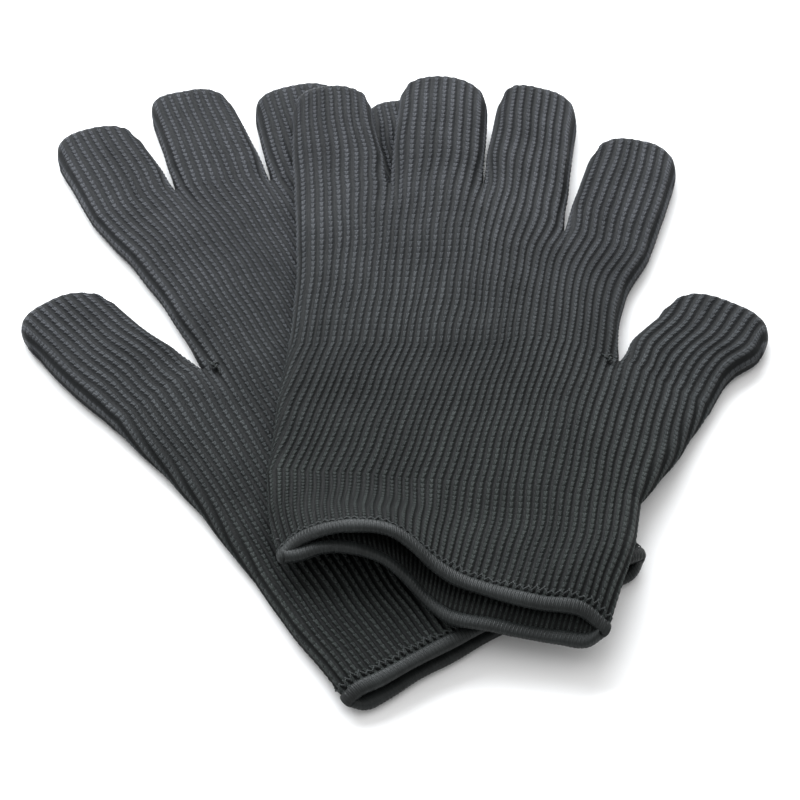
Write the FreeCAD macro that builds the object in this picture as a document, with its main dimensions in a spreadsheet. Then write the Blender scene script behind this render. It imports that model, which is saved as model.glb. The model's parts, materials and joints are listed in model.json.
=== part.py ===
import FreeCAD, Part
import math
import os
import Sketcher

# A pair of knitted work gloves, one lying on the other. Millimetres, +Z up.
# The lower glove lies on the surface z = 0 and its palm's underside holds the
# origin. Each glove is laid out in its own frame: +Y from the cuff's mouth
# towards the fingertips, and x positive towards the thumb. The lower glove's
# thumb points to -X, so its x is turned over by the value lower_side.

doc = FreeCAD.newDocument("glove_pair")
sheet = doc.addObject("Spreadsheet::Sheet", "sizes")

FINGERS = ("little", "ring", "middle", "index")
STALLS = FINGERS + ("thumb",)
GLOVES = ("lower", "upper")

COMMON = {
    "wall": 1.3,            # knitted wall, one layer
    "palm_height": 7.4,     # outside height of a palm lying flat
    "side_round": 2.4,      # rounding along a palm's sides
    "stall_clear": 0.4,     # a stall is this much slimmer than its root, each side
    "root_gap": 0.35,       # space between a palm and a stall that bends there
    "rest_gap": 0.4,        # space between the two gloves
    "tip_round": 9.0,       # corner of a fingertip, seen from above
    "hem_depth": 4.5,       # overlocked hem, along the glove
    "hem_proud": 0.7,       # and how far it stands off the cuff
    "elastic_thread": 0.6,  # elastic thread inside the cuff
    "elastic_first": 8.0,   # first elastic row, from the mouth
    "elastic_last": 5.0,    # last elastic row, from the wrist
    "knot_radius": 1.7,     # knot that ties off the thumb's yarn
    "knot_inset": 4.0,      # its distance from the thumb's crotch
}

# place_x, place_y: where the mouth's centre line meets the surface. yaw: turn
# about +Z. side: 1 with the thumb towards +X, -1 with it towards -X.
GLOVE = {
    "lower": {
        "place_x": 27.7, "place_y": -96.9, "yaw": 22.5, "side": -1,
        "mouth_x": -1.3, "mouth_width": 101.8, "mouth_height": 7.4, "mouth_skew": -6.7,
        "cuff_length": 46.0, "wrist_half": 57.0, "side_half": 59.5, "side_y": 140.0,
        "gore_x": 70.0, "gore_y": 90.5, "waist_x": 41.0, "waist_y": 151.0,
        "split": -9.9,
    },
    "upper": {
        "place_x": 14.4, "place_y": -89.5, "yaw": -4.0, "side": 1,
        "mouth_x": -2.3, "mouth_width": 97.5, "mouth_height": 14.0, "mouth_skew": -12.4,
        "cuff_length": 43.5, "wrist_half": 57.2, "side_half": 57.3, "side_y": 136.5,
        "gore_x": 66.0, "gore_y": 53.5, "waist_x": 50.5, "waist_y": 118.5,
        "split": 1.0,
    },
}

# Each stall: width at the root and at the tip, length, height, the root's
# distance from the mouth, tilt towards the thumb and droop of the tip, degrees.
STALL = {
    "lower": {
        "little": (29.5, 26.5, 37.0, 7.4, 197.0, -12.0, 0.0),
        "ring": (31.0, 28.5, 47.0, 7.4, 206.5, -6.0, 0.0),
        "middle": (32.2, 28.5, 49.5, 8.6, 215.5, -4.0, 0.0),
        "index": (30.0, 29.0, 43.5, 8.6, 214.0, 9.0, 0.0),
        "thumb": (38.0, 32.0, 56.0, 8.6, 126.4, 20.0, 0.0),
    },
    "upper": {
        "little": (31.0, 27.0, 51.5, 9.0, 175.0, -8.5, 0.0),
        "ring": (30.6, 28.6, 53.0, 9.0, 181.5, 0.0, 0.0),
        "middle": (29.5, 28.0, 54.0, 9.0, 180.5, 3.0, 5.0),
        "index": (30.5, 29.3, 50.0, 9.0, 160.5, 9.5, 5.0),
        "thumb": (37.0, 33.0, 45.0, 9.0, 94.0, 31.0, 5.0),
    },
}
STALL_SIZES = ("root", "tip", "length", "height", "y", "tilt", "droop")
THUMB_X = {"lower": 60.0, "upper": 63.3}

ELASTIC_ROWS = 8

# Stalls that lie under the other glove and can only spread sideways, and the
# angle that their roots have room for.
SPREADING = (("lower", "ring"), ("lower", "little"))
SPREAD_ROOM = 3.0


def fill_sheet():
    rows = dict(COMMON)
    for glove in GLOVES:
        for name, value in GLOVE[glove].items():
            rows[f"{glove}_{name}"] = value
        rows[f"{glove}_thumb_x"] = THUMB_X[glove]
        for stall in STALLS:
            for name, value in zip(STALL_SIZES, STALL[glove][stall]):
                rows[f"{glove}_{stall}_{name}"] = value
    for row, (alias, value) in enumerate(rows.items(), start=1):
        sheet.set(f"A{row}", alias)
        sheet.set(f"B{row}", str(value))
        sheet.setAlias(f"B{row}", alias)
    doc.recompute()


def size(alias):
    return float(sheet.get(alias))


def plane(body, role):
    return [part for part in body.Origin.OriginFeatures if part.Role == role][0]


def new_sketch(body, name, role):
    sketch = body.newObject("Sketcher::SketchObject", name)
    sketch.AttachmentSupport = [(plane(body, role), "")]
    sketch.MapMode = "FlatFace"
    return sketch


def bind(sketch, kind, geometry, point, value, expression):
    args = (kind, geometry, point, value) if point else (kind, geometry, value)
    number = sketch.addConstraint(Sketcher.Constraint(*args))
    sketch.setExpression(f"Constraints[{number}]", expression)


def outline(sketch, corners):
    """Closed polygon whose corners are pairs of expressions."""
    count = len(corners)
    start = []
    for i in range(count):
        turn = 2 * math.pi * i / count
        start.append(FreeCAD.Vector(100 * math.cos(turn), 100 * math.sin(turn), 0))
    for i in range(count):
        sketch.addGeometry(Part.LineSegment(start[i], start[(i + 1) % count]))
    for i in range(count):
        sketch.addConstraint(Sketcher.Constraint("Coincident", i, 2, (i + 1) % count, 1))
    for i, (across, along) in enumerate(corners):
        bind(sketch, "DistanceX", i, 1, start[i].x, across)
        bind(sketch, "DistanceY", i, 1, start[i].y, along)


def slot(sketch, centre_x, centre_z, width, height):
    """Slot with round ends, from expressions for its centre, width and height."""
    first = sketch.GeometryCount
    up = FreeCAD.Vector(0, 0, 1)
    right = FreeCAD.Vector(40, 0, 0)
    left = FreeCAD.Vector(-40, 0, 0)
    quarter = math.pi / 2
    top, right_end, bottom, left_end = range(first, first + 4)
    sketch.addGeometry(Part.LineSegment(FreeCAD.Vector(-40, 5, 0), FreeCAD.Vector(40, 5, 0)))
    sketch.addGeometry(Part.ArcOfCircle(Part.Circle(right, up, 5), -quarter, quarter))
    sketch.addGeometry(Part.LineSegment(FreeCAD.Vector(-40, -5, 0), FreeCAD.Vector(40, -5, 0)))
    sketch.addGeometry(Part.ArcOfCircle(Part.Circle(left, up, 5), quarter, 3 * quarter))
    for a, a_end, b, b_end in (
        (top, 2, right_end, 2),
        (bottom, 2, right_end, 1),
        (bottom, 1, left_end, 2),
        (top, 1, left_end, 1),
    ):
        sketch.addConstraint(Sketcher.Constraint("Tangent", a, a_end, b, b_end))
    sketch.addConstraint(Sketcher.Constraint("Equal", right_end, left_end))
    bind(sketch, "Radius", right_end, 0, 5.0, f"({height}) / 2")
    bind(sketch, "DistanceX", right_end, 3, 40.0, f"{centre_x} + ({width} - ({height})) / 2")
    bind(sketch, "DistanceY", right_end, 3, 0.0, centre_z)
    bind(sketch, "DistanceX", left_end, 3, -40.0, f"{centre_x} - ({width} - ({height})) / 2")
    bind(sketch, "DistanceY", left_end, 3, 0.0, centre_z)


def of_glove(glove, name):
    return f"sizes.{glove}_{name}"


def root_centre_x(glove, stall):
    """The stalls stand side by side, outwards from the line between ring and middle."""
    if stall == "thumb":
        return of_glove(glove, "thumb_x")
    split = of_glove(glove, "split")
    own = of_glove(glove, f"{stall}_root")
    return {
        "ring": f"({split} - {own} / 2)",
        "little": f"({split} - {of_glove(glove, 'ring_root')} - {own} / 2)",
        "middle": f"({split} + {own} / 2)",
        "index": f"({split} + {of_glove(glove, 'middle_root')} + {own} / 2)",
    }[stall]


def root_corner(glove, stall, end, inset="0", ahead="0"):
    """Corner of a stall's root: end is 1 on the thumb's side, -1 on the other."""
    tilt = of_glove(glove, f"{stall}_tilt")
    reach = f"{end} * ({of_glove(glove, stall + '_root')} / 2 - ({inset}))"
    across = f"{root_centre_x(glove, stall)} + {reach} * cos({tilt}) + ({ahead}) * sin({tilt})"
    along = f"{of_glove(glove, stall + '_y')} - {reach} * sin({tilt}) + ({ahead}) * cos({tilt})"
    return across, along


def palm_corners(glove):
    corners = [
        (f"-{of_glove(glove, 'wrist_half')}", of_glove(glove, "cuff_length")),
        (f"-{of_glove(glove, 'side_half')}", of_glove(glove, "side_y")),
    ]
    for stall in FINGERS:
        corners.append(root_corner(glove, stall, -1))
        corners.append(root_corner(glove, stall, 1))
    corners.append((of_glove(glove, "waist_x"), of_glove(glove, "waist_y")))
    corners.append(root_corner(glove, "thumb", -1))
    corners.append(root_corner(glove, "thumb", 1))
    corners.append((of_glove(glove, "gore_x"), of_glove(glove, "gore_y")))
    corners.append((of_glove(glove, "wrist_half"), of_glove(glove, "cuff_length")))
    return corners


# The first corner of each root's edge in the list that palm_corners makes.
ROOT_EDGE = {"little": 2, "ring": 4, "middle": 6, "index": 8, "thumb": 11}


def cavity_corners(glove):
    """The space inside the palm, which opens into the cuff and into each stall."""
    wall = "sizes.wall"
    port = "(sizes.wall + sizes.stall_clear)"
    past = "2"
    corners = [
        (f"{wall} - {of_glove(glove, 'wrist_half')}", f"{of_glove(glove, 'cuff_length')} - {past}"),
        (f"{wall} - {of_glove(glove, 'side_half')}", of_glove(glove, "side_y")),
    ]
    for place, stall in enumerate(FINGERS):
        if place > 0:
            before = root_corner(glove, FINGERS[place - 1], 1)[1]
            after = root_corner(glove, stall, -1)[1]
            web = f"min({before}; {after}) - {wall} - sizes.stall_clear"
            corners.append((root_corner(glove, FINGERS[place - 1], 1, port, f"-({wall})")[0], web))
            corners.append((root_corner(glove, stall, -1, port, f"-({wall})")[0], web))
        corners.append(root_corner(glove, stall, -1, port, past))
        corners.append(root_corner(glove, stall, 1, port, past))
    corners.append((f"{of_glove(glove, 'waist_x')} - {wall}", of_glove(glove, "waist_y")))
    crotch = root_corner(glove, "thumb", -1)
    corners.append((f"{crotch[0]} - {wall}", crotch[1]))
    corners.append(root_corner(glove, "thumb", -1, port, f"-({wall})"))
    corners.append(root_corner(glove, "thumb", -1, port, past))
    corners.append(root_corner(glove, "thumb", 1, port, past))
    corners.append((f"{of_glove(glove, 'gore_x')} - {wall}", of_glove(glove, "gore_y")))
    corners.append((f"{of_glove(glove, 'wrist_half')} - {wall}", corners[0][1]))
    return corners


def turned_over(glove, corners):
    side = of_glove(glove, "side")
    return [(f"{side} * ({across})", along) for across, along in corners]


def make_palm(glove):
    outer = doc.addObject("PartDesign::Body", f"{glove}_palm_outer")
    plan = new_sketch(outer, f"{glove}_palm_plan", "XY_Plane")
    outline(plan, turned_over(glove, palm_corners(glove)))
    pad = outer.newObject("PartDesign::Pad", f"{glove}_palm_pad")
    pad.Profile = plan
    pad.setExpression("Length", "sizes.palm_height")
    doc.recompute()
    sides = (0, 1, 10, 13)
    middle = [edge_middle(plan, number) for number in sides]
    rims = []
    for number, edge in enumerate(pad.Shape.Edges, start=1):
        point = edge.CenterOfMass
        if any(math.hypot(point.x - m.x, point.y - m.y) < 0.01 for m in middle):
            rims.append(f"Edge{number}")
    rounding = outer.newObject("PartDesign::Fillet", f"{glove}_palm_round")
    rounding.Base = (pad, rims)
    rounding.setExpression("Radius", "sizes.side_round")

    inner = doc.addObject("PartDesign::Body", f"{glove}_palm_inner")
    inner_plan = new_sketch(inner, f"{glove}_palm_inner_plan", "XY_Plane")
    inner_plan.setExpression("AttachmentOffset.Base.z", "sizes.wall")
    outline(inner_plan, turned_over(glove, cavity_corners(glove)))
    inner_pad = inner.newObject("PartDesign::Pad", f"{glove}_palm_inner_pad")
    inner_pad.Profile = inner_plan
    inner_pad.setExpression("Length", "sizes.palm_height - 2 * sizes.wall")

    palm = doc.addObject("Part::Cut", f"{glove}_palm")
    palm.Base = outer
    palm.Tool = inner
    return palm, plan


def edge_middle(plan, number):
    line = plan.Geometry[number]
    return (line.StartPoint + line.EndPoint) * 0.5


def cuff_loft(glove, name, inset):
    """Flattened tube from the mouth to the wrist, its walls moved in by inset."""
    body = doc.addObject("PartDesign::Body", f"{glove}_{name}")
    side = of_glove(glove, "side")
    mouth = new_sketch(body, f"{glove}_{name}_mouth", "XZ_Plane")
    skew = size(f"{glove}_mouth_skew") * size(f"{glove}_side")
    mouth.AttachmentOffset = FreeCAD.Placement(
        FreeCAD.Vector(0, 0, 0), FreeCAD.Rotation(FreeCAD.Vector(0, 1, 0), skew)
    )
    mouth_height = of_glove(glove, "mouth_height")
    slot(
        mouth,
        f"{side} * {of_glove(glove, 'mouth_x')}",
        f"sizes.hem_proud + {mouth_height} / 2",
        f"({of_glove(glove, 'mouth_width')} - 2 * {inset})",
        f"{mouth_height} - 2 * {inset}",
    )
    wrist = new_sketch(body, f"{glove}_{name}_wrist", "XZ_Plane")
    wrist.setExpression("AttachmentOffset.Base.z", f"-{of_glove(glove, 'cuff_length')}")
    slot(
        wrist,
        "0",
        "sizes.palm_height / 2",
        f"(2 * {of_glove(glove, 'wrist_half')} - 2 * {inset})",
        f"sizes.palm_height - 2 * {inset}",
    )
    loft = body.newObject("PartDesign::AdditiveLoft", f"{glove}_{name}_loft")
    loft.Profile = mouth
    loft.Sections = [wrist]
    loft.Ruled = True
    return body


def make_elastic(glove):
    """Rows of elastic thread, knitted into the inner face of the cuff's wall."""
    inner_face = cuff_loft(glove, "elastic_inside", "sizes.wall")
    outer_face = cuff_loft(glove, "elastic_outside", "(sizes.wall - sizes.elastic_thread)")
    lining = doc.addObject("Part::Cut", f"{glove}_elastic_lining")
    lining.Base = outer_face
    lining.Tool = inner_face
    rows = []
    reach = 200
    half_mouth = f"{of_glove(glove, 'mouth_width')} / 2"
    slant = f"({half_mouth} * sin(abs({of_glove(glove, 'mouth_skew')})))"
    first = f"({slant} + sizes.elastic_first)"
    last = f"({of_glove(glove, 'cuff_length')} - sizes.elastic_last)"
    for row in range(ELASTIC_ROWS):
        slab = doc.addObject("Part::Box", f"{glove}_elastic_row_{row + 1}")
        slab.Length = reach
        slab.Height = reach
        slab.setExpression("Width", "sizes.elastic_thread")
        slab.Placement.Base = FreeCAD.Vector(-reach / 2, 0, -reach / 2)
        share = row / (ELASTIC_ROWS - 1)
        slab.setExpression("Placement.Base.y", f"{first} + ({last} - {first}) * {share:.4f}")
        rows.append(slab)
    slabs = doc.addObject("Part::MultiFuse", f"{glove}_elastic_rows")
    slabs.Shapes = rows
    threads = doc.addObject("Part::Common", f"{glove}_elastic_threads")
    threads.Base = lining
    threads.Tool = slabs
    return threads


def make_cuff(glove, threads):
    """Tube of knitting with a groove round its inner face for each elastic row."""
    outer = cuff_loft(glove, "cuff_outer", "0")
    bore = cuff_loft(glove, "cuff_bore", "sizes.wall")
    space = doc.addObject("Part::MultiFuse", f"{glove}_cuff_space")
    space.Shapes = [bore, threads]
    cuff = doc.addObject("Part::Cut", f"{glove}_cuff")
    cuff.Base = outer
    cuff.Tool = space
    return cuff


def make_hem(glove):
    """Overlocked hem: a band on the end of the cuff, in the plane of its mouth."""
    body = doc.addObject("PartDesign::Body", f"{glove}_cuff_hem")
    ring = new_sketch(body, f"{glove}_hem_ring", "XZ_Plane")
    skew = size(f"{glove}_mouth_skew") * size(f"{glove}_side")
    ring.AttachmentOffset = FreeCAD.Placement(
        FreeCAD.Vector(0, 0, 0), FreeCAD.Rotation(FreeCAD.Vector(0, 1, 0), skew)
    )
    mouth_height = of_glove(glove, "mouth_height")
    for spread in ("2 * sizes.hem_proud", "-2 * sizes.wall"):
        slot(
            ring,
            f"{of_glove(glove, 'side')} * {of_glove(glove, 'mouth_x')}",
            f"sizes.hem_proud + {mouth_height} / 2",
            f"({of_glove(glove, 'mouth_width')} + {spread})",
            f"{mouth_height} + {spread}",
        )
    band = body.newObject("PartDesign::Pad", f"{glove}_hem_band")
    band.Profile = ring
    band.setExpression("Length", "sizes.hem_depth")
    return body


def make_stall(glove, stall):
    """Hollow stall, closed at the tip. Its top edge at the root is its origin."""
    body = doc.addObject("PartDesign::Body", f"{glove}_{stall}")
    half_root = f"({of_glove(glove, stall + '_root')} / 2 - sizes.stall_clear)"
    half_tip = f"{of_glove(glove, stall + '_tip')} / 2"
    length = of_glove(glove, f"{stall}_length")
    height = of_glove(glove, f"{stall}_height")
    plan = new_sketch(body, f"{glove}_{stall}_plan", "XY_Plane")
    outline(
        plan,
        [
            (f"-{half_root}", "0"),
            (half_root, "0"),
            (half_tip, length),
            (f"-{half_tip}", length),
        ],
    )
    pad = body.newObject("PartDesign::Pad", f"{glove}_{stall}_pad")
    pad.Profile = plan
    pad.Reversed = True
    pad.setExpression("Length", height)
    doc.recompute()

    long_way = size(f"{glove}_{stall}_length")
    tall = size(f"{glove}_{stall}_height")
    corners = []
    for number, edge in enumerate(pad.Shape.Edges, start=1):
        point = edge.CenterOfMass
        if abs(point.y - long_way) < 0.01 and abs(point.z + tall / 2) < 0.01:
            corners.append(f"Edge{number}")
    tip = body.newObject("PartDesign::Fillet", f"{glove}_{stall}_tip")
    tip.Base = (pad, corners)
    tip.setExpression("Radius", "sizes.tip_round")
    doc.recompute()

    rims = []
    for number, edge in enumerate(tip.Shape.Edges, start=1):
        point = edge.CenterOfMass
        on_face = abs(point.z) < 0.01 or abs(point.z + tall) < 0.01
        if on_face and point.y > 0.01:
            rims.append(f"Edge{number}")
    rounding = body.newObject("PartDesign::Fillet", f"{glove}_{stall}_round")
    rounding.Base = (tip, rims)
    rounding.setExpression("Radius", "sizes.side_round")

    bore = new_sketch(body, f"{glove}_{stall}_bore", "XZ_Plane")
    slot(
        bore,
        "0",
        f"-{height} / 2",
        f"({of_glove(glove, stall + '_tip')} - 2 * sizes.wall - 2 * sizes.stall_clear)",
        f"{height} - 2 * sizes.wall",
    )
    doc.recompute()
    solid = rounding.Shape.Volume
    cavity = body.newObject("PartDesign::Pocket", f"{glove}_{stall}_cavity")
    cavity.Profile = bore
    cavity.setExpression("Length", f"{length} - sizes.tip_round * 2 / 3")
    doc.recompute()
    if not cavity.Shape.Volume < 0.8 * solid:
        raise RuntimeError(f"{glove} {stall}: the cavity cuts nothing")
    return body


def make_knot(glove):
    knot = doc.addObject("Part::Sphere", f"{glove}_thumb_knot")
    knot.setExpression("Radius", "sizes.knot_radius")
    knot.Angle1 = 0
    return knot


def glove_placement(glove):
    """The upper glove's hem lies just above the lower glove's hem."""
    lift = 0.0
    if glove == "upper":
        hem_top = size("lower_mouth_height") + 2 * size("hem_proud")
        stall_top = max(size("lower_little_height"), size("lower_ring_height"))
        lift = max(hem_top, size("palm_height"), stall_top) + size("rest_gap")
    turn = FreeCAD.Rotation(FreeCAD.Vector(0, 0, 1), size(f"{glove}_yaw"))
    place = FreeCAD.Vector(size(f"{glove}_place_x"), size(f"{glove}_place_y"), lift)
    return FreeCAD.Placement(place, turn)


def stall_placement(glove, stall, plan):
    """The stall's root stands on the middle of the palm's edge that it grows from."""
    line = plan.Geometry[ROOT_EDGE[stall]]
    ends = [line.StartPoint, line.EndPoint]
    ends.sort(key=lambda point: point.x)
    edge = ends[1] - ends[0]
    yaw = math.degrees(math.atan2(edge.y, edge.x))
    droop = size(f"{glove}_{stall}_droop")
    height = size(f"{glove}_{stall}_height")
    gap = size("root_gap") + height * math.sin(math.radians(droop))
    if (glove, stall) in SPREADING:
        gap = gap + size(f"{glove}_{stall}_root") / 2 * math.sin(math.radians(SPREAD_ROOM))
    turn = FreeCAD.Rotation(FreeCAD.Vector(0, 0, 1), yaw)
    ahead = turn.multVec(FreeCAD.Vector(0, gap, 0))
    middle = (ends[0] + ends[1]) * 0.5 + ahead + FreeCAD.Vector(0, 0, height)
    pitch = FreeCAD.Rotation(FreeCAD.Vector(1, 0, 0), -droop)
    return FreeCAD.Placement(middle, turn.multiply(pitch))


def knot_placement(glove, plan):
    crotch = plan.Geometry[ROOT_EDGE["thumb"]].StartPoint
    inset = size("knot_inset")
    place = FreeCAD.Vector(crotch.x - size(f"{glove}_side") * inset, crotch.y - inset, size("palm_height"))
    return FreeCAD.Placement(place, FreeCAD.Rotation())


def make_glove(glove):
    nodes = []
    base = glove_placement(glove)
    palm, plan = make_palm(glove)
    threads = make_elastic(glove)
    cuff = make_cuff(glove, threads)
    elastic = doc.addObject("Part::Compound", f"{glove}_cuff_elastic")
    elastic.Links = [threads]
    hem = make_hem(glove)
    doc.recompute()
    for piece in (palm, cuff, hem, elastic):
        piece.Placement = base
        nodes.append(piece)
    for stall in STALLS:
        piece = make_stall(glove, stall)
        piece.Placement = base.multiply(stall_placement(glove, stall, plan))
        nodes.append(piece)
    knot = make_knot(glove)
    knot.Placement = base.multiply(knot_placement(glove, plan))
    nodes.append(knot)
    return nodes


def check_document(nodes):
    doc.recompute()
    for item in doc.Objects:
        if "Invalid" in item.State or "Error" in item.State:
            raise RuntimeError(f"{item.Name} failed: {item.State}")
    for node in nodes:
        if node.Shape.isNull() or not node.Shape.isValid() or not node.Shape.Solids:
            raise RuntimeError(f"{node.Label} has no valid solid")


def write_parts(nodes):
    os.makedirs("parts", exist_ok=True)
    for node in nodes:
        node.Shape.exportStep(f"parts/{node.Label}.step")


fill_sheet()
nodes = []
for glove in GLOVES:
    nodes.extend(make_glove(glove))
check_document(nodes)
write_parts(nodes)
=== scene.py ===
import json
import math

import bpy
import numpy as np
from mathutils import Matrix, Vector


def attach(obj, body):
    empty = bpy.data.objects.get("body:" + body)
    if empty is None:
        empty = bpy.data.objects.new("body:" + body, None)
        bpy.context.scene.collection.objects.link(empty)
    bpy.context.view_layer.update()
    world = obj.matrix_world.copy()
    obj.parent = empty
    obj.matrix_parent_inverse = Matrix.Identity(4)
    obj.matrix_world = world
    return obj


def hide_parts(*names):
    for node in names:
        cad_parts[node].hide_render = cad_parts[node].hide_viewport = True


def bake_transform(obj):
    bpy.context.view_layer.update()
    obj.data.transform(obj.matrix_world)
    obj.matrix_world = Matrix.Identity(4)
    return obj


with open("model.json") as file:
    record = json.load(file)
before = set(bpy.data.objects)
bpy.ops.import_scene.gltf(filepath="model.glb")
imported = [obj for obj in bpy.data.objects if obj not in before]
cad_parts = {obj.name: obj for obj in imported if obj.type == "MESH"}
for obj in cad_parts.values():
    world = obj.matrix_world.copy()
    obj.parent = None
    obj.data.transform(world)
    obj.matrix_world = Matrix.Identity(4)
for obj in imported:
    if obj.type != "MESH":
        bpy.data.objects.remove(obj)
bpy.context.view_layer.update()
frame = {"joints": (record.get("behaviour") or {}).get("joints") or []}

# A pair of knitted work gloves, one lying on the other. Lengths in the tables
# are millimetres. Each glove is laid out as its CAD is: y from the cuff's mouth
# to the fingertips, x positive towards the thumb. Wales are the ribs that run
# along the glove, courses are the rows of stitches across it.

MM = 0.001
FINGERS = ("little", "ring", "middle", "index")
WALES = {"hand": 56, "palm": 44, "finger": 11, "thumb": 12}
COURSE = 2.15
TOP_STEPS = 6         # mesh columns in a wale on top
LOW_STEPS = 4         # and beneath
ROW_STEPS = 4         # mesh rows in a course
RELIEF = 0.8          # how far a stitch stands out
WALL = 1.0            # knitted wall under the stitches
REST = 0.9            # space under a glove's base surface
LOW_SHARE = 0.38      # share of the thickness below the outline
PLUMP = 0.7           # extra thickness of a stall past its root
PINCHED = 1.3         # half the thickness at the crotch between two stalls
PINCH_REACH = 1.3     # wales over which the knit is drawn in beside a crotch
LIP_REST = 2.2        # least height of the cuff's lips over what lies below
TIP_CLOSE = 4.2       # length over which a fingertip closes
TIP_SMOOTH = 9        # mesh rows over which the stitches fade into the tip
DRAPE = 0.17          # steepest slope of a glove that lies over the other
ELASTIC_ROWS = 8
WRAP = 1.15           # width of one wrap of the hem's thread

# Each glove: outlines of its parts, as points (x, y); lips of the mouth as
# (x, y, height); knuckle line as (wale, x, y); fingertips as left shoulder, top
# and right shoulder. Roll is how many wales the side edge is turned under.

GLOVES = {
    "lower": {
        "place": (27.7, -96.9), "yaw": 22.5, "side": -1,
        "thick": 5.4, "edge": 3.8, "roll": 4.0,
        "lip_top": [(-52.4, 11.0, 4.6), (-48.0, 9.6, 6.6), (-38.0, 7.6, 7.4), (-20.0, 5.4, 7.6),
                    (-0.6, 3.0, 7.8), (12.4, 0.6, 7.9), (25.3, -1.6, 7.8), (38.0, -4.0, 7.4),
                    (45.6, -4.6, 6.4), (49.0, -5.4, 4.4)],
        "lip_low": [(-52.4, 11.0, 4.6), (-48.5, 7.4, 2.8), (-38.0, 5.6, 2.0), (-20.0, 4.4, 1.9),
                    (-0.6, 2.6, 1.9), (12.4, -0.4, 1.9), (25.3, -2.8, 1.9), (38.0, -6.2, 2.0),
                    (44.8, -7.0, 2.6), (49.0, -5.4, 4.4)],
        "wrist": [(-57.0, 46.0), (57.0, 46.0)],
        "cuff_left": [(-52.4, 11.0), (-54.5, 28.0), (-57.0, 46.0)],
        "cuff_right": [(49.0, -5.4), (53.8, 21.4), (57.0, 46.0)],
        "knuckle": [(0, -59.6, 121.0), (22, -9.0, 128.5), (44, 42.2, 132.9), (50, 60.0, 127.2),
                    (56, 76.5, 120.5)],
        "hand_left": [(-57.0, 46.0), (-58.6, 84.0), (-59.6, 121.0)],
        "hand_right": [(57.0, 46.0), (66.8, 91.5), (76.5, 120.5)],
        "roots": [(-70.0, 194.0), (-41.0, 200.0), (-8.4, 208.4), (22.8, 216.5), (54.3, 211.6)],
        "palm_left": [(-59.6, 121.0), (-61.5, 150.0), (-70.0, 194.0)],
        "palm_right": [(42.2, 132.9), (43.4, 151.1), (48.4, 187.1), (54.3, 211.6)],
        "tips": {
            "little": [(-75.6, 218.0), (-63.6, 230.8), (-50.2, 223.0)],
            "ring": [(-45.6, 238.0), (-31.1, 252.5), (-15.0, 239.5)],
            "middle": [(-9.4, 247.8), (4.0, 264.2), (18.9, 252.5)],
            "index": [(26.8, 241.2), (40.7, 257.4), (56.0, 242.9)],
            "thumb": [(59.6, 168.8), (77.1, 181.4), (90.8, 162.5)],
        },
        "thumb_left": [(42.2, 132.9), (53.8, 154.7), (59.6, 168.8)],
        "thumb_right": [(76.5, 120.5), (87.2, 149.5), (90.4, 162.6)],
    },
    "upper": {
        "place": (14.4, -89.5), "yaw": -4.0, "side": 1,
        "thick": 5.8, "edge": 3.8, "roll": 4.5,
        "lip_top": [(-50.6, 12.0, 11.6), (-46.5, 15.7, 14.4), (-39.0, 16.2, 20.0), (-30.1, 15.7, 23.6),
                    (-16.9, 13.9, 24.0), (-10.8, 10.8, 21.8), (-6.3, 7.9, 19.2), (-0.2, 4.4, 17.2),
                    (11.6, 0.4, 16.2), (26.1, -3.0, 16.0), (38.6, -4.0, 15.0), (45.6, -8.2, 11.8)],
        "lip_low": [(-50.6, 12.0, 11.6), (-44.8, 12.2, 12.8), (-38.9, 13.0, 15.4), (-28.4, 11.7, 17.4),
                    (-19.5, 9.0, 16.3), (-13.4, 5.4, 13.6), (-7.2, -0.6, 11.6), (-1.0, -5.8, 11.0),
                    (15.1, -8.6, 10.2), (32.4, -10.6, 9.6), (41.0, -11.0, 9.8), (45.6, -8.2, 11.8)],
        "wrist": [(-57.8, 44.5), (54.8, 42.0)],
        "cuff_left": [(-50.6, 12.0), (-55.2, 28.0), (-57.8, 44.5)],
        "cuff_right": [(45.6, -8.2), (53.2, 26.0), (54.8, 42.0)],
        "knuckle": [(0, -56.9, 97.0), (22, -4.5, 101.0), (44, 47.3, 103.3), (50, 61.8, 95.0),
                    (56, 76.6, 86.2)],
        "hand_left": [(-57.8, 44.5), (-57.2, 70.0), (-56.9, 97.0)],
        "hand_right": [(54.8, 42.0), (63.2, 58.4), (76.6, 86.2)],
        "roots": [(-61.8, 168.0), (-30.0, 177.5), (1.0, 181.7), (28.6, 163.9), (57.2, 153.8)],
        "palm_left": [(-56.9, 97.0), (-57.5, 136.5), (-61.8, 168.0)],
        "palm_right": [(47.3, 103.3), (48.1, 119.0), (50.6, 137.5), (57.2, 153.8)],
        "tips": {
            "little": [(-66.0, 206.4), (-53.5, 225.0), (-39.8, 212.0)],
            "ring": [(-29.6, 217.5), (-14.7, 233.6), (0.9, 216.8)],
            "middle": [(4.4, 217.8), (18.0, 236.2), (31.9, 217.0)],
            "index": [(37.0, 198.2), (51.4, 213.0), (66.5, 192.0)],
            "thumb": [(61.6, 126.6), (81.8, 136.3), (93.7, 111.4)],
        },
        "thumb_left": [(47.3, 103.3), (55.5, 118.1), (61.6, 126.6)],
        "thumb_right": [(76.6, 86.2), (83.9, 101.7), (93.7, 111.4)],
    },
}


def ease(x):
    x = np.clip(x, 0, 1)
    return x * x * (3 - 2 * x)


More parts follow.
